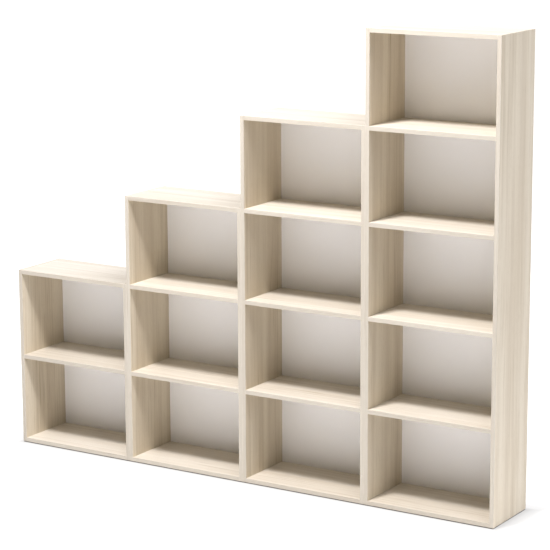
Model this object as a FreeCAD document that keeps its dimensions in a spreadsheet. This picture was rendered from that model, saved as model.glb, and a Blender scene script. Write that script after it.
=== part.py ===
# Staircase bookshelf: four open cabinets side by side, each one cell higher than its left neighbour.
# Each cabinet is a carcass of laminated boards with concealed tongue joints and a thin rebated back.
# Lengths are millimetres. The cells open towards -Y, +Z is up, and the origin is on the floor,
# under the middle of the row.
import FreeCAD, Part
import os
import Sketcher

CELLS_PER_MODULE = (2, 3, 4, 5)

# Driving dimensions, kept in the document's sheet
SIZES = {
    # Carcass boards and the clear cells between them
    "board_thickness": 16,
    "cell_width": 500,
    "cell_height": 332,
    "outer_depth": 265,
    # Edge bands on the front edges and on the upper ends of the sides
    "band_thickness": 1,
    # Back panel, in a rebate along the rear of each side
    "back_thickness": 3,
    "back_recess": 1,
    "back_side_clearance": 0.5,
    "back_end_inset": 2,
    "rebate_width": 8,
    # Loose tongues between the boards, and their stopped grooves
    "tongue_width": 20,
    "tongue_thickness": 4,
    "tongue_edge_distance": 35,
    "groove_end_clearance": 1,
    "groove_depth_clearance": 0.5,
    # Countersunk screws between neighbouring cabinets
    "screw_diameter": 4,
    "screw_head_diameter": 8,
    "countersink_angle": 90,
    "screw_point_length": 4,
    "screw_tip_cover": 2,
    "screw_hole_clearance": 0.3,
    "screw_edge_distance": 45,
    "screw_board_distance": 60,
    # Floor glides under the sides
    "glide_width": 14,
    "glide_length": 40,
    "glide_height": 3,
    "glide_bevel": 0.8,
    "glide_edge_distance": 10,
}

# Places and sizes that follow from the driving dimensions
PITCH = "(Sizes.cell_height + Sizes.board_thickness)"
MODULE_WIDTH = "(Sizes.cell_width + 2 * Sizes.board_thickness)"
FRONT = "(-Sizes.outer_depth / 2)"
REAR = "(Sizes.outer_depth / 2)"
CORE_FRONT = f"({FRONT} + Sizes.band_thickness)"
BACK_FRONT = f"({REAR} - Sizes.back_recess - Sizes.back_thickness)"
TONGUE_FRONT = f"({FRONT} + Sizes.tongue_edge_distance)"
TONGUE_REAR = f"({BACK_FRONT} - Sizes.tongue_edge_distance)"
GROOVE_FRONT = f"({TONGUE_FRONT} - Sizes.groove_end_clearance)"
GROOVE_REAR = f"({TONGUE_REAR} + Sizes.groove_end_clearance)"
GROOVE_REACH = "(Sizes.tongue_width / 2 + Sizes.groove_depth_clearance)"
SCREW_LENGTH = "(2 * Sizes.board_thickness - Sizes.screw_tip_cover)"
SCREW_HEAD_HEIGHT = (
    "((Sizes.screw_head_diameter - Sizes.screw_diameter) / 2 / tan(Sizes.countersink_angle * 1 deg / 2))"
)
SCREW_ROWS = (
    f"({FRONT} + Sizes.screw_edge_distance)",
    f"({BACK_FRONT} - Sizes.screw_edge_distance)",
)
GLIDE_ROWS = (
    f"({FRONT} + Sizes.glide_edge_distance)",
    f"({BACK_FRONT} - Sizes.glide_edge_distance - Sizes.glide_length)",
)

doc = FreeCAD.newDocument("StaircaseBookshelf")
sheet = doc.addObject("Spreadsheet::Sheet", "Sizes")
for row, (alias, number) in enumerate(SIZES.items(), start=1):
    sheet.set(f"A{row}", alias)
    sheet.set(f"B{row}", str(number))
    sheet.setAlias(f"B{row}", alias)
doc.recompute()


def value(expression):
    """Gives the number that an expression in sheet sizes has now."""
    return float(sheet.evalExpression(expression))


def module_left(module):
    """Gives the place of a module's outer left face, with the row centred on the origin."""
    return f"({module} - {len(CELLS_PER_MODULE)} / 2) * {MODULE_WIDTH}"


def module_height(module):
    """Gives the height of a module's sides, from their lower ends to the top band."""
    return f"({CELLS_PER_MODULE[module]} * {PITCH} + Sizes.board_thickness)"


def board_underside(level):
    """Gives the height above the floor of a horizontal board, counted from the bottom board."""
    return f"(Sizes.glide_height + {level} * {PITCH})"


def inner_faces(module):
    """Gives the places of a module's two inner side faces."""
    left = f"({module_left(module)} + Sizes.board_thickness)"
    return left, f"({left} + Sizes.cell_width)"


def screw_levels(module):
    """Gives the heights of a module's joining screws: in its lowest cell and in its highest."""
    lowest = f"({board_underside(0)} + Sizes.board_thickness + Sizes.screw_board_distance)"
    highest = f"({board_underside(CELLS_PER_MODULE[module])} - Sizes.screw_board_distance)"
    return lowest, highest


def place(thing, x="0", y="0", z="0"):
    """Ties an object's place to expressions in sheet sizes."""
    for axis, expression in zip("xyz", (x, y, z)):
        thing.setExpression(f".Placement.Base.{axis}", expression)
    return thing


def new_sketch(body, name, role, offset="0"):
    """Adds a sketch on one of the body's own planes, moved along its normal by an offset."""
    plane = next(item for item in body.Origin.OriginFeatures if item.Role == role)
    sketch = body.newObject("Sketcher::SketchObject", name)
    sketch.AttachmentSupport = [(plane, "")]
    sketch.MapMode = "FlatFace"
    sketch.setExpression(".AttachmentOffset.Base.z", offset)
    return sketch


def constrain(sketch, kind, expression, *ends):
    """Adds a dimension to a sketch and ties it to an expression."""
    number = sketch.addConstraint(Sketcher.Constraint(kind, *ends, value(expression)))
    sketch.setExpression(f"Constraints[{number}]", expression)


def pin(sketch, edge, end, x, y):
    """Holds a point of an edge at its distances from the sketch's origin."""
    constrain(sketch, "DistanceX", x, -1, 1, edge, end)
    constrain(sketch, "DistanceY", y, -1, 1, edge, end)


def add_outline(sketch, corners):
    """Draws straight edges through the corners and closes them."""
    points = [FreeCAD.Vector(value(x), value(y), 0) for x, y in corners]
    edges = [
        sketch.addGeometry(Part.LineSegment(start, end))
        for start, end in zip(points, points[1:] + points[:1])
    ]
    for edge, following in zip(edges, edges[1:] + edges[:1]):
        sketch.addConstraint(Sketcher.Constraint("Coincident", edge, 2, following, 1))
    for edge, (x, y) in zip(edges, corners):
        pin(sketch, edge, 1, x, y)


def add_rectangle(sketch, left, right, near, far):
    """Draws a rectangle between two places along each axis."""
    add_outline(sketch, [(left, near), (right, near), (right, far), (left, far)])


def add_circle(sketch, x, y, diameter):
    """Draws a circle at a place measured from the sketch's origin."""
    centre = FreeCAD.Vector(value(x), value(y), 0)
    circle = sketch.addGeometry(Part.Circle(centre, FreeCAD.Vector(0, 0, 1), value(diameter) / 2))
    pin(sketch, circle, 3, x, y)
    constrain(sketch, "Diameter", diameter, circle)


def new_body(name):
    """Starts a solid with its own history."""
    body = doc.addObject("PartDesign::Body", name)
    body.Label = name
    return body


def pad(body, sketch, length):
    """Raises a sketch to a thickness."""
    feature = body.newObject("PartDesign::Pad", f"{sketch.Name}_pad")
    feature.Profile = sketch
    feature.setExpression("Length", length)
    return feature


def cut_grooves(body, name, joint_planes, level):
    """Cuts stopped grooves across joint planes, with their flat faces against the tongues."""
    sketch = new_sketch(body, f"{name}_grooves", "XY_Plane", level)
    for plane in joint_planes:
        left = f"({plane} - {GROOVE_REACH})"
        right = f"({plane} + {GROOVE_REACH})"
        add_rectangle(sketch, left, right, GROOVE_FRONT, GROOVE_REAR)
    pocket = body.newObject("PartDesign::Pocket", f"{name}_groove_pocket")
    pocket.Profile = sketch
    pocket.SideType = "Symmetric"
    pocket.setExpression("Length", "Sizes.tongue_thickness")
    return pocket


def repeat_upwards(body, feature, count):
    """Repeats a cut at every board level of a side."""
    axis = next(item for item in body.Origin.OriginFeatures if item.Role == "Z_Axis")
    pattern = body.newObject("PartDesign::LinearPattern", f"{feature.Name}_levels")
    pattern.Originals = [feature]
    pattern.Direction = (axis, [""])
    pattern.Mode = "Spacing"
    pattern.setExpression("Offset", PITCH)
    pattern.Occurrences = count
    body.Tip = pattern


def side_section(inward):
    """Gives the corners of a side's plan: a board with a rebate for the back at its inner rear edge."""
    inner = f"({inward} * Sizes.board_thickness)"
    rebate = f"({inward} * (Sizes.board_thickness - Sizes.rebate_width))"
    return [
        ("0", CORE_FRONT),
        ("0", REAR),
        (rebate, REAR),
        (rebate, BACK_FRONT),
        (inner, BACK_FRONT),
        (inner, CORE_FRONT),
    ]


def drill_screw_holes(body, name, face, levels, countersunk):
    """Drills for the joining screws along +X: a countersunk through hole, or a blind pilot hole."""
    sketch = new_sketch(body, f"{name}_screw_places", "YZ_Plane", face)
    bore = "(Sizes.screw_diameter + Sizes.screw_hole_clearance)"
    for level in levels:
        for row in SCREW_ROWS:
            add_circle(sketch, row, f"({level} - Sizes.glide_height)", bore)
    doc.recompute()
    hole = body.newObject("PartDesign::Hole", f"{name}_screw_holes")
    hole.Profile = sketch
    hole.Reversed = True
    hole.DrillPoint = "Flat"
    hole.setExpression("Diameter", bore)
    if countersunk:
        hole.DepthType = "ThroughAll"
        hole.HoleCutType = "Countersink"
        hole.HoleCutCustomValues = True
        hole.setExpression("HoleCutCountersinkAngle", "Sizes.countersink_angle")
        hole.setExpression("HoleCutDiameter", "(Sizes.screw_head_diameter + Sizes.screw_hole_clearance)")
    else:
        hole.DepthType = "Dimension"
        hole.setExpression("Depth", f"({SCREW_LENGTH} - Sizes.board_thickness + Sizes.screw_hole_clearance)")
    return hole


def side_board(module, hand):
    """Builds a side of a module; its inner face looks right on the left side and left on the right side."""
    name = f"module_{module + 1}_{hand}_side"
    inward = {"left": 1, "right": -1}[hand]
    inner = f"({inward} * Sizes.board_thickness)"
    body = new_body(name)
    section = new_sketch(body, f"{name}_section", "XY_Plane")
    add_outline(section, side_section(inward))
    pad(body, section, f"({module_height(module)} - Sizes.band_thickness)")
    pocket = cut_grooves(body, name, [inner], "Sizes.board_thickness / 2")
    repeat_upwards(body, pocket, CELLS_PER_MODULE[module] + 1)
    if hand == "right" and module + 1 < len(CELLS_PER_MODULE):
        drill_screw_holes(body, name, inner, screw_levels(module), countersunk=True)
    if hand == "left" and module > 0:
        drill_screw_holes(body, name, "0", screw_levels(module - 1), countersunk=False)
    outer = module_left(module + (hand == "right"))
    return place(body, x=outer, z="Sizes.glide_height")


def horizontal_board(module, name, level):
    """Builds a bottom, shelf or top: one board size for all, grooved at both ends."""
    body = new_body(name)
    section = new_sketch(body, f"{name}_section", "XY_Plane")
    ends = ("0", "Sizes.cell_width")
    add_rectangle(section, *ends, CORE_FRONT, BACK_FRONT)
    pad(body, section, "Sizes.board_thickness")
    cut_grooves(body, name, ends, "Sizes.board_thickness / 2")
    return place(body, x=inner_faces(module)[0], z=board_underside(level))


def box(name, length, width, height):
    """Makes a plain block whose sides follow the sheet."""
    block = doc.addObject("Part::Box", name)
    block.Label = name
    block.setExpression("Length", length)
    block.setExpression("Width", width)
    block.setExpression("Height", height)
    return block


def back_panel(module):
    """Builds a module's back, which lies in the rebates of its sides and behind its boards."""
    name = f"module_{module + 1}_back"
    overlap = "(Sizes.rebate_width - Sizes.back_side_clearance)"
    panel = box(
        name,
        f"(Sizes.cell_width + 2 * {overlap})",
        "Sizes.back_thickness",
        f"({module_height(module)} - 2 * Sizes.back_end_inset)",
    )
    return place(
        panel,
        x=f"({inner_faces(module)[0]} - {overlap})",
        y=BACK_FRONT,
        z="(Sizes.glide_height + Sizes.back_end_inset)",
    )


def group(name, members):
    """Gathers separate solids of one kind in one node."""
    compound = doc.addObject("Part::Compound", name)
    compound.Label = name
    compound.Links = members
    return compound


def edge_bands(module):
    """Builds a module's edge bands: one on the front of each board and one on each side's upper end."""
    name = f"module_{module + 1}_edge_bands"
    height = module_height(module)
    thickness = "Sizes.band_thickness"
    bands = []
    for hand, inward in (("left", 1), ("right", -1)):
        outer = module_left(module + (hand == "right"))
        corner = f"({outer} + {(inward - 1) // 2} * Sizes.board_thickness)"
        front = box(f"{name}_{hand}_front", "Sizes.board_thickness", thickness, height)
        bands.append(place(front, x=corner, y=FRONT, z="Sizes.glide_height"))
        end = new_body(f"{name}_{hand}_end")
        section = new_sketch(end, f"{name}_{hand}_end_section", "XY_Plane")
        add_outline(section, side_section(inward))
        pad(end, section, thickness)
        bands.append(place(end, x=outer, z=f"(Sizes.glide_height + {height} - {thickness})"))
    for level in range(CELLS_PER_MODULE[module] + 1):
        front = box(f"{name}_level_{level}", "Sizes.cell_width", thickness, "Sizes.board_thickness")
        bands.append(place(front, x=inner_faces(module)[0], y=FRONT, z=board_underside(level)))
    return group(name, bands)


def copies(name, master, places):
    """Repeats a master solid at a list of places and gathers the copies in one node."""
    links = []
    for number, (x, y, z) in enumerate(places, start=1):
        link = doc.addObject("App::Link", f"{name}_{number}")
        link.LinkedObject = master
        links.append(place(link, x, y, z))
    return group(name, links)


def tongue_master():
    """Builds one loose tongue, from its lower left corner."""
    length = f"({TONGUE_REAR} - {TONGUE_FRONT})"
    return box("tongue", "Sizes.tongue_width", length, "Sizes.tongue_thickness")


def tongues(module, master):
    """Sets a tongue, half in the side, at both ends of every horizontal board."""
    drop = "(Sizes.board_thickness - Sizes.tongue_thickness) / 2"
    places = [
        (f"({face} - Sizes.tongue_width / 2)", TONGUE_FRONT, f"({board_underside(level)} + {drop})")
        for level in range(CELLS_PER_MODULE[module] + 1)
        for face in inner_faces(module)
    ]
    return copies(f"module_{module + 1}_tongues", master, places)


def screw_master():
    """Builds one countersunk screw along +X, with the face of its head at its origin."""
    body = new_body("joining_screw")
    profile = new_sketch(body, "joining_screw_profile", "XY_Plane")
    shank = "(Sizes.screw_diameter / 2)"
    shoulder = f"({SCREW_LENGTH} - Sizes.screw_point_length)"
    corners = [
        ("0", "0"),
        (SCREW_LENGTH, "0"),
        (shoulder, shank),
        (SCREW_HEAD_HEIGHT, shank),
        ("0", "(Sizes.screw_head_diameter / 2)"),
    ]
    add_outline(profile, corners)
    turned = body.newObject("PartDesign::Revolution", "joining_screw_turned")
    turned.Profile = profile
    turned.ReferenceAxis = (profile, ["H_Axis"])
    turned.Angle = 360
    return body


def joining_screws(module, master):
    """Sets the screws that hold a module to its taller neighbour, driven from inside the lower one."""
    face = inner_faces(module)[1]
    places = [(face, row, level) for level in screw_levels(module) for row in SCREW_ROWS]
    return copies(f"joining_screws_{module + 1}_{module + 2}", master, places)


def glide_master():
    """Builds one floor glide: a low pad whose lower edges are bevelled."""
    body = new_body("glide")
    outline = new_sketch(body, "glide_outline", "XY_Plane")
    add_rectangle(outline, "0", "Sizes.glide_width", "0", "Sizes.glide_length")
    block = pad(body, outline, "Sizes.glide_height")
    doc.recompute()
    lower_edges = [
        f"Edge{number}"
        for number, edge in enumerate(block.Shape.Edges, start=1)
        if edge.BoundBox.ZMax < value("Sizes.glide_height / 2")
    ]
    bevel = body.newObject("PartDesign::Chamfer", "glide_bevel")
    bevel.Base = (block, lower_edges)
    bevel.setExpression("Size", "Sizes.glide_bevel")
    return body


def glides(module, master):
    """Sets a glide at the front and rear of both sides of a module, midway in their thickness."""
    inset = "(Sizes.board_thickness - Sizes.glide_width) / 2"
    left, right = inner_faces(module)
    outer_left = f"({left} - Sizes.board_thickness)"
    places = [(f"({edge} + {inset})", row, "0") for edge in (outer_left, right) for row in GLIDE_ROWS]
    return copies(f"module_{module + 1}_glides", master, places)


tongue = tongue_master()
screw = screw_master()
glide = glide_master()

nodes = []
for module, cells in enumerate(CELLS_PER_MODULE):
    prefix = f"module_{module + 1}"
    nodes.append(side_board(module, "left"))
    nodes.append(side_board(module, "right"))
    nodes.append(horizontal_board(module, f"{prefix}_bottom", 0))
    for level in range(1, cells):
        nodes.append(horizontal_board(module, f"{prefix}_shelf_{level}", level))
    nodes.append(horizontal_board(module, f"{prefix}_top", cells))
    nodes.append(back_panel(module))
    nodes.append(edge_bands(module))
    nodes.append(tongues(module, tongue))
    nodes.append(glides(module, glide))
    if module + 1 < len(CELLS_PER_MODULE):
        nodes.append(joining_screws(module, screw))
doc.recompute()

for thing in doc.Objects:
    if "Invalid" in thing.State or "Error" in thing.State:
        raise RuntimeError(f"{thing.Label} failed: {thing.State}")

os.makedirs("parts", exist_ok=True)
for node in nodes:
    shape = node.Shape
    if shape.isNull() or not shape.isValid():
        raise RuntimeError(f"{node.Label} has no valid shape")
    shape.exportStep(f"parts/{node.Label}.step")
    print(node.Label, len(shape.Solids), "solids", round(shape.Volume), "mm3")
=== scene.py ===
# Staircase bookshelf: finishes, small steel fasteners, studio light and camera.
# Lengths are metres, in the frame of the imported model: the cells open towards -Y and +Z is up.
import math
import random

import bmesh
import bpy
from mathutils import Matrix, Vector


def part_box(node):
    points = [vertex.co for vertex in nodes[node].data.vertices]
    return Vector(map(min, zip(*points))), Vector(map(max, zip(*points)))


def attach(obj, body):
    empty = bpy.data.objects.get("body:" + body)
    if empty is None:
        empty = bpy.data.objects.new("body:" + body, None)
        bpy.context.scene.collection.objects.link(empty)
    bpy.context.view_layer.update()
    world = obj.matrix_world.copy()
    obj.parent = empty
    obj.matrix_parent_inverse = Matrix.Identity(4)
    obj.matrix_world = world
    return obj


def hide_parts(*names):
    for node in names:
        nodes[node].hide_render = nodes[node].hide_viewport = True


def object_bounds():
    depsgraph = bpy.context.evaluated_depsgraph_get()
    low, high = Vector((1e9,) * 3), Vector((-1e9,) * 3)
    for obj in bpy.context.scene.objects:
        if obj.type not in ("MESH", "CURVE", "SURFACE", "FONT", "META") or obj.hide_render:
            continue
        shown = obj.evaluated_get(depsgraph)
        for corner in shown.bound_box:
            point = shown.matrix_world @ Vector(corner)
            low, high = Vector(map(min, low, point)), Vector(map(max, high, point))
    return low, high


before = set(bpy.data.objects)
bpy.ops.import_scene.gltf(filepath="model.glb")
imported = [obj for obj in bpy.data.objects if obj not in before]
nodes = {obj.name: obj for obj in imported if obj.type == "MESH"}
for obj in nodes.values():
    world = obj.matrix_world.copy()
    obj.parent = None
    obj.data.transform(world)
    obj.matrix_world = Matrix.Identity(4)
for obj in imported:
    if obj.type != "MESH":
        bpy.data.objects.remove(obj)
cad_low, cad_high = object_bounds()

# Axes by number, directions, and a quarter of a turn
X, Y, Z = range(3)
RIGHTWARD = Vector((1.0, 0.0, 0.0))
REARWARD = Vector((0.0, 1.0, 0.0))
UPWARD = Vector((0.0, 0.0, 1.0))
QUARTER_TURN = math.pi / 2

# The bookcase, as the model has it
MODULES = (1, 2, 3, 4)
MODULE_WIDTH = 0.532
BOARD = 0.016
BOARD_FRONT = -0.1315
LEVEL_ENDINGS = ("_bottom", "_top", "_shelf_1", "_shelf_2", "_shelf_3", "_shelf_4")

# The two finishes of a board or back, and how a face is told to belong to the first
SKIN, CORE = range(2)
PLANE_TOLERANCE = 0.0002
FACING = 0.9

# Edge bands: their thickness, the rounding of their rims, and their finishes
BAND = 0.001
BAND_ROUND = 0.0005
BAND_ROUND_STEPS = 3
BAND_ROUND_PROFILE = 0.5
BAND_UPRIGHT, BAND_LEVEL, BAND_END = range(3)

# Softened edges: their widths, their steps, and the corners that get them
BOARD_EDGE = 0.00025
BACK_EDGE = 0.0003
TONGUE_EDGE = 0.0003
GLIDE_EDGE = 0.0002
EDGE_STEPS = 2
EDGE_ANGLE = math.radians(40)
FLAT_ANGLE = math.radians(1)
WELD_DISTANCE = 0.00001

# Wire staples that hold the backs: the size of the bent line, and half the width and thickness of the wire
STAPLE_CROWN = 0.0105
STAPLE_LEG = 0.012
STAPLE_BEND = 0.0008
STAPLE_BEND_STEPS = 4
STAPLE_HALF_WIDTH = 0.00045
STAPLE_HALF_THICKNESS = 0.00032
STAPLE_CHAMFER = 0.00014
STAPLE_POINT_SHARE = 0.3
# Where the staples are, and how unevenly they were driven
STAPLE_SIDE_STEP = 0.15
STAPLE_END_DISTANCE = 0.05
STAPLE_BOARD_STEP = 0.12
STAPLE_TURN = math.radians(7)
STAPLE_WANDER = 0.003

# Screws that join the modules: radii of the head, neck, core and thread, and the bevel of the head's rim
SCREW_HEAD = 0.00386
SCREW_RIM = 0.00012
SCREW_NECK = 0.0019
SCREW_CORE = 0.00135
SCREW_THREAD = 0.0019
SCREW_SIDES = 24
# How deep the thread starts, how it winds, and the tapered point with the share of the radius left at its tip
SCREW_PLAIN = 0.0125
SCREW_PITCH = 0.0018
THREAD_STEPS = 6
THREAD_MIDDLE = 0.5
THREAD_SLOPE = 4
SCREW_TAPER = 0.004
SCREW_TIP_SHARE = 0.05
# How far inside their node's box the screws have their axes
SCREW_INSET = 0.004
# The cross recess in the head: reach and half width of its arms at the top and at the floor
RECESS_TOP = (0.0023, 0.00058)
RECESS_FLOOR = (0.0011, 0.0003)
RECESS_DEPTH = 0.0016

# The curve from screen levels to linear light
SCREEN_WHITE = 255
CURVE_KNEE = 0.04045
CURVE_SLOPE = 12.92
CURVE_OFFSET = 0.055
CURVE_POWER = 2.4

# Colours in screen levels; a wood has a pale ground, tan bands and dark streaks
ASH_UPRIGHT = ((213, 201, 178), (195, 180, 155), (157, 137, 102))
# The horizontal boards carry the same ash print as the uprights; their tones are painted paler and greyer, a
# painted highlight for their lit tops
ASH_LEVEL_PAINTED_PALER = ((217, 208, 191), (202, 191, 171), (167, 149, 120))
BAND_TONES = ((198, 189, 171), (190, 179, 160), (168, 151, 128))
PLYWOOD_TONES = ((214, 186, 142), (190, 156, 112), (150, 114, 76))
WORN_EDGE = (226, 217, 202)
CHIP_BROWN = (160, 128, 90)
CHIP_PALE = (206, 178, 136)
CHIP_DUST = (112, 84, 54)
LACQUER_DULL = (252, 250, 245)
LACQUER_CLEAR = (254, 252, 248)
HARDBOARD_DARK = (122, 84, 52)
HARDBOARD_PALE = (166, 124, 84)
HARDBOARD_STAIN = (104, 70, 44)
PLASTIC_DARK = (38, 36, 34)
PLASTIC_RUBBED = (70, 67, 63)
ZINC_GREY = (186, 188, 190)
ZINC_YELLOWED = (214, 212, 204)

# How strongly the grain shows in each wood
LAMINATE_CONTRAST = 0.82
BAND_CONTRAST = 0.6
PLYWOOD_CONTRAST = 1.0

# Specular level of a satin finish
SATIN_SPECULAR = 0.35
# Noise: its middle, and the two levels that most of it lies between
NOISE_MIDDLE = (0.5, 0.5, 0.5)
NOISE_USUAL = (0.3, 0.7)
# How squarely a surface looks along its nearest axis on a flat face, and on a rounded edge
FLAT_FACING = 0.99
ROUND_FACING = 0.9

# Grain print: how far its lines sway, how much its streaks stand out, and how the tone differs between boards
SWAY_REACH = 0.022
STREAK_RELIEF = 0.35
TONE_WAVES = 40.0
TONE_MODULE_STEP = 3.7

# Camera, fitted to the outline
CAMERA_PLACE = Vector((4.3295, -6.7691, 2.4975))
CAMERA_YAW = math.radians(-32.201)
CAMERA_PITCH = math.radians(-12.027)
CAMERA_ROLL = math.radians(-0.253)
CAMERA_LENS = 141.71
CAMERA_SENSOR = 36.0
CAMERA_NEAR = 0.1
CAMERA_FAR = 300.0

# Key light, and how much of it falls on the module tops, which would be plain white in all of it
KEY_PLACE = Vector((0.1, -1.71, 4.37))
KEY_AIM = Vector((0.0, -0.2, 0.5))
KEY_SIZE = 0.63
KEY_POWER = 220.0
KEY_TINT = (1.01, 1.0, 1.06)
TOP_SHARE = 0.68

# Soft light from the sky: where it is brightest, how closely it gathers there, and its cool daylight tint
SKY_AXIS = Vector((0.6, 0.0, 1.0)).normalized()
SKY_GATHERING = 10.0
SKY_STRENGTH = 6.0
SKY_TINT = (0.98, 1.0, 1.1)
WHITE = (1.0, 1.0, 1.0)

# Floor: its colour for the light it throws back, and its colour as seen
FLOOR_HALF = 80.0
FLOOR_COLOUR = (0.95, 0.95, 0.95)
FLOOR_SEEN_COLOUR = (0.23, 0.222, 0.205)
# How painted light, a glow on the seen floor, brightens it to plain white away from the bookcase, on its
# right and on its other sides;
# near the bookcase, most of all by its right, the glow is held low, leaving painted shade beside the real
# shadow.
# Each step has the distances where it begins and ends, and the brightness that it adds
FLOOR_GLOW_RIGHT = ((-0.004, 0.003, 0.49), (0.003, 0.03, 0.13), (0.02, 0.1, 0.34))
FLOOR_GLOW_ELSEWHERE = ((-0.0015, 0.002, 0.56), (0.0, 0.03, 0.2), (0.03, 0.12, 0.2))


def linear(levels):
    """Turns screen colour levels into the linear colour that shaders take."""
    colour = []
    for level in levels:
        share = level / SCREEN_WHITE
        if share <= CURVE_KNEE:
            colour.append(share / CURVE_SLOPE)
        else:
            colour.append(((share + CURVE_OFFSET) / (1 + CURVE_OFFSET)) ** CURVE_POWER)
    return tuple(colour)


def add_node(tree, kind, inputs=None, **settings):
    """Adds a shader node; an input is a value, or another node's output to link."""
    made = tree.nodes.new("ShaderNode" + kind)
    for name, setting in settings.items():
        setattr(made, name, setting)
    for key, given in (inputs or {}).items():
        if isinstance(given, bpy.types.NodeSocket):
            tree.links.new(given, made.inputs[key])
        elif made.inputs[key].type == "RGBA":
            made.inputs[key].default_value = (*given, 1.0)
        else:
            made.inputs[key].default_value = given
    return made


def new_material(name, values):
    """Makes a material with one principled shader set to some values, and gives its tree and shader."""
    material = bpy.data.materials.new(name)
    material.use_nodes = True
    tree = material.node_tree
    shader = tree.nodes["Principled BSDF"]
    for socket, value in values.items():
        shader.inputs[socket].default_value = value
    return material, tree, shader


def math_node(tree, operation, first, second=0.0):
    """Adds a math node and gives its output."""
    return add_node(tree, "Math", {0: first, 1: second}, operation=operation).outputs[0]


def vector_node(tree, operation, first, second):
    """Adds a vector math node and gives its output."""
    return add_node(tree, "VectorMath", {0: first, 1: second}, operation=operation).outputs["Vector"]


def split(tree, vector):
    """Gives the X, Y and Z of a vector."""
    return add_node(tree, "SeparateXYZ", {0: vector}).outputs


def remap(tree, value, low, high, to_low=0.0, to_high=1.0):
    """Maps a value between two limits to a smooth run between two others."""
    inputs = {"Value": value, "From Min": low, "From Max": high, "To Min": to_low, "To Max": to_high}
    made = add_node(tree, "MapRange", inputs, interpolation_type="SMOOTHSTEP")
    return made.outputs["Result"]


def mix_colour(tree, share, first, second):
    """Mixes two colours by a share of the second."""
    return add_node(tree, "MixRGB", {"Fac": share, "Color1": first, "Color2": second}).outputs["Color"]


def scaled(tree, place, scale):
    """Stretches a place by a factor on each axis."""
    return vector_node(tree, "MULTIPLY", place, scale)


def noise(tree, place, waves, detail=3.0, roughness=0.5):
    """Adds fractal noise with so many waves per metre on each axis."""
    inputs = {"Vector": scaled(tree, place, waves), "Scale": 1.0, "Detail": detail, "Roughness": roughness}
    return add_node(tree, "TexNoise", inputs).outputs["Fac"]


def even(waves):
    """Gives the same number of waves on all three axes."""
    return (waves, waves, waves)


def along_grain(axis, along, across):
    """Gives one number for the grain's axis and another for the other two."""
    return tuple(along if index == axis else across for index in range(3))


def grain(tree, place, axis, along, across, **texture):
    """Adds noise with so many waves per metre along the grain and across it."""
    return noise(tree, place, along_grain(axis, along, across), **texture)


def object_place(tree):
    """Gives the place in the part's own frame, since every piece's object sits at the origin."""
    return add_node(tree, "TexCoord").outputs["Object"]


def bump(tree, shader, height, strength, depth):
    """Raises the surface by a height pattern."""
    inputs = {"Height": height, "Strength": strength, "Distance": depth}
    tree.links.new(add_node(tree, "Bump", inputs).outputs["Normal"], shader.inputs["Normal"])


def board_tone(tree, place, axis):
    """Gives a value that is nearly even on one board and differs from board to board."""
    if axis == Z:
        return noise(tree, place, (TONE_WAVES, 0.0, 0.0), detail=0.0)
    parts = split(tree, place)
    module = math_node(tree, "FLOOR", math_node(tree, "DIVIDE", parts["X"], MODULE_WIDTH))
    snapped = add_node(tree, "CombineXYZ", {"X": module, "Z": parts["Z"]}).outputs[0]
    return noise(tree, snapped, (TONE_MODULE_STEP, 0.0, TONE_WAVES), detail=0.0)


def swayed(tree, place, axis):
    """Bends the grain lines a little as they run along the board."""
    waves = scaled(tree, place, along_grain(axis, along=1.6, across=5.0))
    sway = add_node(tree, "TexNoise", {"Vector": waves, "Scale": 1.0}).outputs["Color"]
    centred = vector_node(tree, "SUBTRACT", sway, NOISE_MIDDLE)
    shift = scaled(tree, centred, along_grain(axis, along=0.0, across=SWAY_REACH))
    return vector_node(tree, "ADD", place, shift)


def edge_share(tree):
    """Gives 1 on narrow rounded edges, which face no main direction, and 0 on flat faces."""
    parts = split(tree, add_node(tree, "TexCoord").outputs["Normal"])
    facing = 0.0
    for direction in "XYZ":
        facing = math_node(tree, "MAXIMUM", math_node(tree, "ABSOLUTE", parts[direction]), facing)
    return remap(tree, facing, FLAT_FACING, ROUND_FACING)


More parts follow.
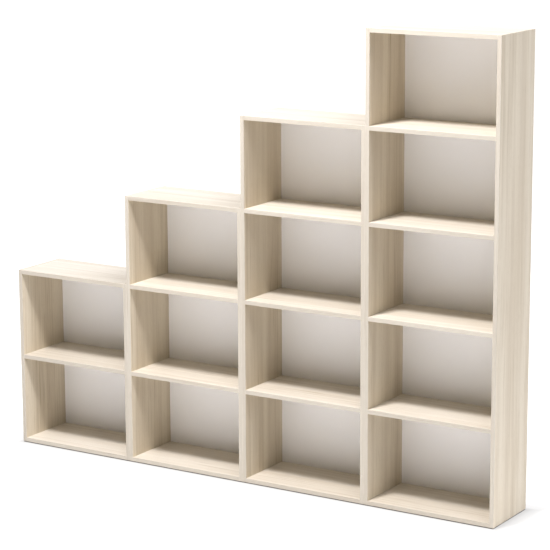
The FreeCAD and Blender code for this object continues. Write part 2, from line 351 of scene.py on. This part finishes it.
def wood(name, axis, tones, contrast):
    """Grain print: broad bands, narrow streaks and short pores, all long in the grain's direction."""
    pale, tan, dark = (linear(levels) for levels in tones)
    material, tree, shader = new_material(name, {"Specular IOR Level": SATIN_SPECULAR})
    place = object_place(tree)
    bent = swayed(tree, place, axis)
    broad = grain(tree, bent, axis, along=0.5, across=17.0, detail=2.0, roughness=0.55)
    patches = grain(tree, bent, axis, along=0.9, across=9.0, detail=1.0)
    streaks = grain(tree, bent, axis, along=1.6, across=85.0, detail=4.0, roughness=0.6)
    lines = grain(tree, bent, axis, along=3.0, across=170.0, detail=2.0)
    pores = grain(tree, bent, axis, along=30.0, across=950.0, detail=2.0)
    gathered = remap(tree, patches, low=0.38, high=0.62, to_low=0.35)
    broad_share = remap(tree, broad, low=0.38, high=0.64, to_high=0.8 * contrast)
    streak_share = remap(tree, streaks, low=0.44, high=0.68, to_high=0.32 * contrast)
    line_share = remap(tree, lines, low=0.62, high=0.75, to_high=0.75 * contrast)
    pore_share = remap(tree, pores, low=0.58, high=0.74, to_high=0.45 * contrast)
    colour = mix_colour(tree, broad_share, pale, tan)
    colour = mix_colour(tree, math_node(tree, "MULTIPLY", streak_share, gathered), colour, dark)
    colour = mix_colour(tree, math_node(tree, "MULTIPLY", line_share, gathered), colour, dark)
    colour = mix_colour(tree, pore_share, colour, dark)
    rubs = grain(tree, place, axis, along=25.0, across=90.0, detail=4.0)
    rubbed = remap(tree, rubs, low=0.42, high=0.62, to_low=0.15, to_high=0.7)
    worn = math_node(tree, "MULTIPLY", rubbed, edge_share(tree))
    colour = mix_colour(tree, worn, colour, linear(WORN_EDGE))
    tone = board_tone(tree, place, axis)
    lift = remap(tree, tone, low=0.25, high=0.75, to_low=0.965, to_high=1.035)
    lifted = add_node(tree, "VectorMath", {0: colour, "Scale": lift}, operation="SCALE")
    tree.links.new(lifted.outputs["Vector"], shader.inputs["Base Color"])
    gloss = remap(tree, streaks, *NOISE_USUAL, to_low=0.4, to_high=0.54)
    tree.links.new(gloss, shader.inputs["Roughness"])
    ridges = math_node(tree, "MULTIPLY", streaks, STREAK_RELIEF)
    height = math_node(tree, "SUBTRACT", ridges, pore_share)
    bump(tree, shader, height, strength=0.25, depth=0.00015)
    return material


def chipboard(name, axis):
    """Raw particleboard edge: pale and brown chips pressed flat across one axis, with fine dust between."""
    material, tree, shader = new_material(name, {"Roughness": 0.9})
    place = object_place(tree)
    ragged = noise(tree, place, even(420.0), detail=2.0)
    pressed = scaled(tree, place, along_grain(axis, along=1150.0, across=330.0))
    shifted = vector_node(tree, "ADD", pressed, ragged)
    chips = add_node(tree, "TexVoronoi", {"Vector": shifted, "Scale": 1.0})
    shade = add_node(tree, "SeparateColor", {0: chips.outputs["Color"]}).outputs["Red"]
    fine = noise(tree, place, even(2200.0))
    pale_share = remap(tree, shade, low=0.0, high=1.0)
    dust_share = remap(tree, fine, low=0.5, high=0.75, to_high=0.5)
    colour = mix_colour(tree, pale_share, linear(CHIP_BROWN), linear(CHIP_PALE))
    colour = mix_colour(tree, dust_share, colour, linear(CHIP_DUST))
    tree.links.new(colour, shader.inputs["Base Color"])
    height = math_node(tree, "ADD", chips.outputs["Distance"], fine)
    bump(tree, shader, height, strength=0.6, depth=0.0003)
    return material


def back_paint():
    """White lacquered face of the hardboard back: nearly even, with a faint roller texture."""
    material, tree, shader = new_material("back_white_lacquer", {"Specular IOR Level": SATIN_SPECULAR})
    place = object_place(tree)
    cloud = noise(tree, place, even(3.0))
    peel = noise(tree, place, even(520.0), detail=2.0)
    clear_share = remap(tree, cloud, *NOISE_USUAL)
    colour = mix_colour(tree, clear_share, linear(LACQUER_DULL), linear(LACQUER_CLEAR))
    tree.links.new(colour, shader.inputs["Base Color"])
    gloss = remap(tree, peel, *NOISE_USUAL, to_low=0.42, to_high=0.56)
    tree.links.new(gloss, shader.inputs["Roughness"])
    bump(tree, shader, peel, strength=0.2, depth=0.0001)
    return material


def raw_hardboard():
    """Brown rear face of the hardboard, with long fibres and the weave left by the press screen."""
    material, tree, shader = new_material("back_raw_hardboard", {"Roughness": 0.82})
    place = object_place(tree)
    fibres = grain(tree, place, Z, along=260.0, across=620.0, detail=5.0, roughness=0.7)
    stains = noise(tree, place, even(4.0))
    pale_share = remap(tree, fibres, low=0.3, high=0.72)
    stain_share = remap(tree, stains, low=0.4, high=0.75, to_high=0.35)
    colour = mix_colour(tree, pale_share, linear(HARDBOARD_DARK), linear(HARDBOARD_PALE))
    colour = mix_colour(tree, stain_share, colour, linear(HARDBOARD_STAIN))
    tree.links.new(colour, shader.inputs["Base Color"])
    screen = split(tree, scaled(tree, place, along_grain(Y, along=0.0, across=1800.0)))
    across = math_node(tree, "SINE", screen["X"])
    up = math_node(tree, "SINE", screen["Z"])
    height = math_node(tree, "ADD", math_node(tree, "MULTIPLY", across, up), fibres)
    bump(tree, shader, height, strength=0.4, depth=0.0003)
    return material


def moulded_plastic():
    """Dark glide plastic with a fine spark texture and rubbed paler spots."""
    material, tree, shader = new_material("glide_plastic", {})
    place = object_place(tree)
    grit = noise(tree, place, even(1500.0), detail=2.0)
    rubs = noise(tree, place, even(120.0), detail=4.0)
    rubbed_share = remap(tree, rubs, low=0.5, high=0.75)
    colour = mix_colour(tree, rubbed_share, linear(PLASTIC_DARK), linear(PLASTIC_RUBBED))
    tree.links.new(colour, shader.inputs["Base Color"])
    gloss = remap(tree, rubs, *NOISE_USUAL, to_low=0.5, to_high=0.72)
    tree.links.new(gloss, shader.inputs["Roughness"])
    bump(tree, shader, grit, strength=0.3, depth=0.0001)
    return material


def zinc_steel():
    """Zinc-plated steel with a faint cloudy passivation and drawn scratches."""
    material, tree, shader = new_material("zinc_steel", {"Metallic": 1.0})
    place = object_place(tree)
    cloud = noise(tree, place, even(240.0))
    scratches = grain(tree, place, Y, along=500.0, across=2600.0, detail=2.0)
    yellow_share = remap(tree, cloud, *NOISE_USUAL)
    colour = mix_colour(tree, yellow_share, linear(ZINC_GREY), linear(ZINC_YELLOWED))
    tree.links.new(colour, shader.inputs["Base Color"])
    gloss = remap(tree, scratches, *NOISE_USUAL, to_low=0.26, to_high=0.44)
    tree.links.new(gloss, shader.inputs["Roughness"])
    bump(tree, shader, scratches, strength=0.15, depth=0.00005)
    return material


def seen_directly(tree):
    """Gives 1 on rays from the camera, in mirror-like reflections and through glass, and 0 on others."""
    path = add_node(tree, "LightPath")
    seen = math_node(tree, "MAXIMUM", path.outputs["Is Camera Ray"], path.outputs["Is Glossy Ray"])
    return math_node(tree, "MAXIMUM", seen, path.outputs["Is Transmission Ray"])


def glow_at(tree, distance, steps):
    """Adds up the steps by which the floor brightens with a distance."""
    glow = 0.0
    for near, far, gain in steps:
        glow = math_node(tree, "ADD", remap(tree, distance, near, far, to_high=gain), glow)
    return glow


def floor_glow(tree, place):
    """Gives the floor's brightness by how far a place is outside the bookcase's footprint."""
    parts = split(tree, place)
    right = math_node(tree, "SUBTRACT", parts["X"], cad_high.x)
    left = math_node(tree, "SUBTRACT", cad_low.x, parts["X"])
    across = math_node(tree, "SUBTRACT", math_node(tree, "ABSOLUTE", parts["Y"]), cad_high.y)
    elsewhere = math_node(tree, "MAXIMUM", left, across)
    glow_right = glow_at(tree, right, FLOOR_GLOW_RIGHT)
    return math_node(tree, "MAXIMUM", glow_right, glow_at(tree, elsewhere, FLOOR_GLOW_ELSEWHERE))


def floor_material():
    """White studio floor with painted light: a glow makes it plain white further off and is held low near the
    object, most on its right, so the real shadow shows there along with painted shade.
    """
    values = {"Roughness": 0.9, "Specular IOR Level": 0.0, "Emission Color": (*WHITE, 1.0)}
    material, tree, shader = new_material("studio_floor", values)
    seen = seen_directly(tree)
    colour = mix_colour(tree, seen, FLOOR_COLOUR, FLOOR_SEEN_COLOUR)
    tree.links.new(colour, shader.inputs["Base Color"])
    glow = math_node(tree, "MULTIPLY", floor_glow(tree, object_place(tree)), seen)
    tree.links.new(glow, shader.inputs["Emission Strength"])
    return material


upright_wood = wood("ash_laminate_upright", Z, ASH_UPRIGHT, LAMINATE_CONTRAST)
# Same laminate as the uprights, painted paler and greyer: a painted highlight on the shelves
level_wood_painted_paler = wood("ash_laminate_level_painted_paler", X, ASH_LEVEL_PAINTED_PALER, LAMINATE_CONTRAST)
upright_band = wood("edge_band_upright", Z, BAND_TONES, BAND_CONTRAST)
level_band = wood("edge_band_level", X, BAND_TONES, BAND_CONTRAST)
end_band = wood("edge_band_end", Y, BAND_TONES, BAND_CONTRAST)
upright_core = chipboard("raw_chipboard_upright", X)
level_core = chipboard("raw_chipboard_level", Z)
lacquer = back_paint()
hardboard = raw_hardboard()
plastic = moulded_plastic()
steel = zinc_steel()
plywood = wood("tongue_plywood", Y, PLYWOOD_TONES, PLYWOOD_CONTRAST)


def set_finish(obj, materials, pick=lambda face: 0):
    """Gives an object its materials and chooses one for each face, or the first for all."""
    mesh = obj.data
    mesh.materials.clear()
    for material in materials:
        mesh.materials.append(material)
    for face in mesh.polygons:
        face.material_index = pick(face)
        face.use_smooth = False


def soften_edges(obj, width):
    """Joins the faces at their shared edges and rounds the edges slightly."""
    weld = obj.modifiers.new("weld", "WELD")
    weld.merge_threshold = WELD_DISTANCE
    flat = obj.modifiers.new("flat", "DECIMATE")
    flat.decimate_type = "DISSOLVE"
    flat.angle_limit = FLAT_ANGLE
    flat.delimit = {"MATERIAL"}
    bevel = obj.modifiers.new("bevel", "BEVEL")
    bevel.width = width
    bevel.segments = EDGE_STEPS
    bevel.limit_method = "ANGLE"
    bevel.angle_limit = EDGE_ANGLE


def skin_picker(name, axis):
    """Picks the laminate on a board's two broad faces and the raw core on all others."""
    low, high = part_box(name)

    def pick(face):
        place = face.center[axis]
        broad = abs(face.normal[axis]) > FACING
        outside = min(abs(place - low[axis]), abs(place - high[axis])) < PLANE_TOLERANCE
        return SKIN if broad and outside else CORE

    return pick


def pick_on_back(face):
    """Picks the lacquer on a back's front face and the raw hardboard on all others."""
    return SKIN if face.normal.y < -FACING else CORE


def finish_node(name, obj):
    """Gives one node of the model its finish, and softens its edges unless a piece replaces it."""
    if name.endswith("_side"):
        set_finish(obj, (upright_wood, upright_core), skin_picker(name, X))
        soften_edges(obj, BOARD_EDGE)
    elif name.endswith("_back"):
        set_finish(obj, (lacquer, hardboard), pick_on_back)
        soften_edges(obj, BACK_EDGE)
    elif name.endswith("_edge_bands"):
        set_finish(obj, (upright_band,))
    elif name.endswith("_tongues"):
        set_finish(obj, (plywood,))
        soften_edges(obj, TONGUE_EDGE)
    elif name.endswith("_glides"):
        set_finish(obj, (plastic,))
        soften_edges(obj, GLIDE_EDGE)
    elif name.startswith("joining_screws"):
        set_finish(obj, (steel,))
    else:
        # Shelves, tops and bottoms: the laminate painted paler and greyer, a painted highlight
        set_finish(obj, (level_wood_painted_paler, level_core), skin_picker(name, Z))
        soften_edges(obj, BOARD_EDGE)


def add_object(name, content):
    """Adds an object to the scene."""
    made = bpy.data.objects.new(name, content)
    bpy.context.scene.collection.objects.link(made)
    return made


def new_piece(name, bm, materials):
    """Makes a piece of the bookcase from a built mesh."""
    bmesh.ops.recalc_face_normals(bm, faces=bm.faces)
    mesh = bpy.data.meshes.new(name)
    bm.to_mesh(mesh)
    bm.free()
    for material in materials:
        mesh.materials.append(material)
    piece = add_object(name, mesh)
    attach(piece, "root")
    return piece


def join_rings(bm, rings):
    """Joins a row of rings of points with faces, and gives their vertices."""
    loops = [[bm.verts.new(point) for point in ring] for ring in rings]
    for first, second in zip(loops, loops[1:]):
        for index in range(len(first)):
            bm.faces.new((first[index - 1], first[index], second[index], second[index - 1]))
    return loops


def loop_edges(bm, loop):
    """Gives the edges between neighbours in a closed loop of vertices."""
    return [bm.edges.get((loop[index - 1], loop[index])) for index in range(len(loop))]


def level_boards(module):
    """Gives the names of a module's horizontal boards."""
    start = f"module_{module}_"
    return [name for name in nodes if name.startswith(start) and name.endswith(LEVEL_ENDINGS)]


def add_strip(bm, outline, rise, finish):
    """Raises a strip of edge band from its glued outline, and rounds the rim of its outer face."""
    glued = [bm.verts.new(corner) for corner in outline]
    outer = [bm.verts.new(corner + rise) for corner in outline]
    faces = [bm.faces.new(glued), bm.faces.new(outer)]
    for index in range(len(outline)):
        faces.append(bm.faces.new((glued[index - 1], glued[index], outer[index], outer[index - 1])))
    for face in faces:
        face.material_index = finish
    bmesh.ops.bevel(
        bm,
        geom=loop_edges(bm, outer),
        offset=BAND_ROUND,
        segments=BAND_ROUND_STEPS,
        profile=BAND_ROUND_PROFILE,
        affect="EDGES",
        clamp_overlap=True,
    )


def front_outline(left, right, low, high):
    """Gives the outline of a band glued to the front of a board."""
    corners = ((left, low), (right, low), (right, high), (left, high))
    return [Vector((x, BOARD_FRONT, z)) for x, z in corners]


def end_outline(outer, inner, height):
    """Gives the outline of a band glued to the upper end of a side, with the step that the back lies in."""
    step = outer + (inner - outer) / 2
    back_front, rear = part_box("module_1_back")[0].y, cad_high.y
    corners = (
        (outer, BOARD_FRONT),
        (inner, BOARD_FRONT),
        (inner, back_front),
        (step, back_front),
        (step, rear),
        (outer, rear),
    )
    return [Vector((x, y, height)) for x, y in corners]


def add_edge_bands(module):
    """Replaces a module's edge bands by strips with rounded rims and their own grain direction."""
    node = f"module_{module}_edge_bands"
    low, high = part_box(node)
    forward = -BAND * REARWARD
    up = BAND * UPWARD
    bm = bmesh.new()
    for outer, inner in ((low.x, low.x + BOARD), (high.x, high.x - BOARD)):
        left, right = sorted((outer, inner))
        add_strip(bm, front_outline(left, right, low.z, high.z), forward, BAND_UPRIGHT)
        add_strip(bm, end_outline(outer, inner, high.z - BAND), up, BAND_END)
    for name in level_boards(module):
        board_low, board_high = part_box(name)
        outline = front_outline(board_low.x, board_high.x, board_low.z, board_high.z)
        add_strip(bm, outline, forward, BAND_LEVEL)
    piece = new_piece(f"{node}_rounded", bm, (upright_band, level_band, end_band))
    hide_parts(node)


def staple_line():
    """Gives points along a staple's wire, with the outward direction at each: leg, bend, crown, bend, leg."""
    half = STAPLE_CROWN / 2
    line = [(-half, -STAPLE_LEG, -1.0, 0.0)]
    for step in range(2 * STAPLE_BEND_STEPS + 2):
        turn = step if step <= STAPLE_BEND_STEPS else step - 1
        angle = math.pi - QUARTER_TURN * turn / STAPLE_BEND_STEPS
        middle = STAPLE_BEND - half if step <= STAPLE_BEND_STEPS else half - STAPLE_BEND
        out = (math.cos(angle), math.sin(angle))
        line.append((middle + STAPLE_BEND * out[0], STAPLE_BEND * (out[1] - 1.0), *out))
    line.append((half, -STAPLE_LEG, 1.0, 0.0))
    return line


def wire_section():
    """Gives the chamfered outline of the flat wire: across it, and out from it."""
    outline = []
    for across, out in ((1, 1), (-1, 1), (-1, -1), (1, -1)):
        pair = [
            (across * STAPLE_HALF_WIDTH, out * (STAPLE_HALF_THICKNESS - STAPLE_CHAMFER)),
            (across * (STAPLE_HALF_WIDTH - STAPLE_CHAMFER), out * STAPLE_HALF_THICKNESS),
        ]
        outline += pair if across == out else pair[::-1]
    return outline


def add_staple(bm, place, along):
    """Drives one staple into the back at a place, with its crown in a direction."""
    aside = along.cross(REARWARD)
    line = staple_line()
    rings = []
    for index, (run, rise, out_run, out_rise) in enumerate(line):
        share = STAPLE_POINT_SHARE if index in (0, len(line) - 1) else 1.0
        centre = place + run * along + rise * REARWARD
        out = out_run * along + out_rise * REARWARD
        rings.append([centre + share * (wide * aside + thick * out) for wide, thick in wire_section()])
    loops = join_rings(bm, rings)
    bm.faces.new(loops[0])
    bm.faces.new(loops[-1])


def staple_places(module):
    """Gives each staple of a module's back: its place and whether its crown stands upright."""
    back_low, back_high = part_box(f"module_{module}_back")
    _, left_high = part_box(f"module_{module}_left_side")
    right_low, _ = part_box(f"module_{module}_right_side")
    face = back_high.y + STAPLE_HALF_THICKNESS
    low = back_low.z + STAPLE_END_DISTANCE
    high = back_high.z - STAPLE_END_DISTANCE
    count = round((high - low) / STAPLE_SIDE_STEP)
    for x in ((back_low.x + left_high.x) / 2, (back_high.x + right_low.x) / 2):
        for index in range(count + 1):
            yield Vector((x, face, low + (high - low) * index / count)), True
    for name in level_boards(module):
        board_low, board_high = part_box(name)
        middle = (board_low + board_high) / 2
        count = round((board_high.x - board_low.x) / STAPLE_BOARD_STEP)
        for index in range(count):
            x = middle.x + STAPLE_BOARD_STEP * (index - (count - 1) / 2)
            yield Vector((x, face, middle.z)), False


def add_staples(module):
    """Staples a module's back to the rear edges of its boards, a little unevenly as by hand."""
    hand = random.Random(module)
    bm = bmesh.new()
    for place, upright in staple_places(module):
        slide = hand.uniform(-STAPLE_WANDER, STAPLE_WANDER)
        turn = hand.uniform(-STAPLE_TURN, STAPLE_TURN)
        straight = UPWARD if upright else RIGHTWARD
        along = Matrix.Rotation(turn, 3, "Y") @ straight
        add_staple(bm, place + slide * straight, along)
    new_piece(f"module_{module}_staples", bm, (steel,))


def cross_outline(size):
    """Gives the twelve corners of a cross: how far out its arms reach, and their half width."""
    reach, half = size
    arm = [(half, half), (reach, half), (reach, -half)]
    corners = []
    for quarter in range(4):
        turn = Matrix.Rotation(-QUARTER_TURN * quarter, 2)
        corners += [turn @ Vector(corner) for corner in arm]
    return corners


def thread_radius(depth, angle, length):
    """Gives a screw's radius at a depth below the face of its head: the thread, then a tapered point."""
    phase = ((depth - SCREW_PLAIN) / SCREW_PITCH - angle / math.tau) % 1.0
    ridge = max(0.0, 1.0 - abs(phase - THREAD_MIDDLE) * THREAD_SLOPE)
    radius = SCREW_CORE + (SCREW_THREAD - SCREW_CORE) * ridge
    return radius * min(1.0, max(SCREW_TIP_SHARE, (length - depth) / SCREW_TAPER))


def screw_ring(place, depth, radius, turn):
    """Gives one ring of points round a screw that is driven along +X; the radius may follow the angle."""
    ring = []
    for index in range(SCREW_SIDES):
        angle = math.tau * index / SCREW_SIDES
        out = radius(angle) if callable(radius) else radius
        ring.append(place + Vector((depth, out * math.cos(angle + turn), out * math.sin(angle + turn))))
    return ring


def add_screw(bm, place, length, turn):
    """Builds one countersunk screw with a cross recess, from the face of its head to its point."""
    rings = [
        screw_ring(place, 0.0, SCREW_HEAD - SCREW_RIM, turn),
        screw_ring(place, SCREW_RIM, SCREW_HEAD - SCREW_RIM / 2, turn),
        screw_ring(place, SCREW_HEAD - SCREW_NECK, SCREW_NECK, turn),
    ]
    steps = round((length - SCREW_PLAIN) / SCREW_PITCH * THREAD_STEPS)
    for step in range(steps + 1):
        depth = SCREW_PLAIN + (length - SCREW_PLAIN) * step / steps
        rings.append(screw_ring(place, depth, lambda angle: thread_radius(depth, angle, length), turn))
    loops = join_rings(bm, rings)
    bm.faces.new(loops[-1])
    spin = Matrix.Rotation(turn, 2)
    recess = []
    for size, depth in ((RECESS_TOP, 0.0), (RECESS_FLOOR, RECESS_DEPTH)):
        corners = [spin @ corner for corner in cross_outline(size)]
        recess.append([place + Vector((depth, corner.x, corner.y)) for corner in corners])
    mouth, floor = join_rings(bm, recess)
    bm.faces.new(floor)
    rims = loop_edges(bm, loops[0]) + loop_edges(bm, mouth)
    bmesh.ops.triangle_fill(bm, edges=rims, use_beauty=True)


def add_joining_screws(node):
    """Replaces the plain screws between two modules by threaded ones with a cross recess."""
    low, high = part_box(node)
    hand = random.Random(node)
    bm = bmesh.new()
    for y in (low.y + SCREW_INSET, high.y - SCREW_INSET):
        for z in (low.z + SCREW_INSET, high.z - SCREW_INSET):
            add_screw(bm, Vector((low.x, y, z)), high.x - low.x, hand.uniform(0.0, QUARTER_TURN))
    piece = new_piece(f"{node}_recessed", bm, (steel,))
    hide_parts(node)


def add_floor():
    """Lays the studio floor under the glides."""
    mesh = bpy.data.meshes.new("studio_floor")
    corners = ((-1, -1), (1, -1), (1, 1), (-1, 1))
    mesh.from_pydata([(FLOOR_HALF * x, FLOOR_HALF * y, 0.0) for x, y in corners], [], [(0, 1, 2, 3)])
    mesh.materials.append(floor_material())
    floor = add_object("studio_floor", mesh)


def add_key_light(name, power, tops_state):
    """Hangs a soft lamp high in front of the bookcase, to light all but the module tops or these alone."""
    lamp = bpy.data.lights.new(name, "AREA")
    lamp.shape = "DISK"
    lamp.size = KEY_SIZE
    lamp.energy = power
    lamp.color = KEY_TINT
    key = add_object(name, lamp)
    key.location = KEY_PLACE
    key.rotation_euler = (KEY_AIM - KEY_PLACE).to_track_quat("-Z", "Y").to_euler()
    tops = bpy.data.collections.new(f"{name}_tops")
    for module in MODULES:
        tops.objects.link(nodes[f"module_{module}_top"])
    for entry in tops.collection_objects:
        entry.light_linking.link_state = tops_state
    key.light_linking.receiver_collection = tops


def add_sky():
    """Lights the scene softly from overhead, and shows white to the camera and in reflections."""
    world = bpy.data.worlds.new("studio_sky")
    world.use_nodes = True
    tree = world.node_tree
    sky = tree.nodes["Background"]
    seen = seen_directly(tree)
    tree.links.new(mix_colour(tree, seen, SKY_TINT, WHITE), sky.inputs["Color"])
    direction = add_node(tree, "TexCoord").outputs["Generated"]
    towards = add_node(tree, "VectorMath", {0: direction, 1: SKY_AXIS}, operation="DOT_PRODUCT")
    facing = math_node(tree, "MAXIMUM", towards.outputs["Value"], 0.0)
    lobe = math_node(tree, "POWER", facing, SKY_GATHERING)
    light = math_node(tree, "MULTIPLY", lobe, SKY_STRENGTH)
    unseen = math_node(tree, "SUBTRACT", 1.0, seen)
    light = math_node(tree, "MULTIPLY", light, unseen)
    tree.links.new(math_node(tree, "ADD", light, seen), sky.inputs["Strength"])
    bpy.context.scene.world = world


def add_camera():
    """Sets the camera at the viewing place and angle of the picture."""
    ahead = Vector((
        math.sin(CAMERA_YAW) * math.cos(CAMERA_PITCH),
        math.cos(CAMERA_YAW) * math.cos(CAMERA_PITCH),
        math.sin(CAMERA_PITCH),
    ))
    right = Vector((math.cos(CAMERA_YAW), -math.sin(CAMERA_YAW), 0.0))
    up = right.cross(ahead)
    turned_right = math.cos(CAMERA_ROLL) * right + math.sin(CAMERA_ROLL) * up
    turned_up = math.cos(CAMERA_ROLL) * up - math.sin(CAMERA_ROLL) * right
    lens = bpy.data.cameras.new("camera")
    lens.lens = CAMERA_LENS
    lens.sensor_width = CAMERA_SENSOR
    lens.clip_start = CAMERA_NEAR
    lens.clip_end = CAMERA_FAR
    camera = add_object("camera", lens)
    turn = Matrix((turned_right, turned_up, -ahead)).transposed().to_4x4()
    camera.matrix_world = Matrix.Translation(CAMERA_PLACE) @ turn
    bpy.context.scene.camera = camera


for name, obj in nodes.items():
    finish_node(name, obj)
for module in MODULES:
    add_edge_bands(module)
    add_staples(module)
for name in list(nodes):
    if name.startswith("joining_screws"):
        add_joining_screws(name)
add_floor()
add_key_light("key_light", KEY_POWER, "EXCLUDE")
add_key_light("key_light_on_tops", KEY_POWER * TOP_SHARE, "INCLUDE")
add_sky()
add_camera()
bpy.context.scene.view_settings.view_transform = "Standard"
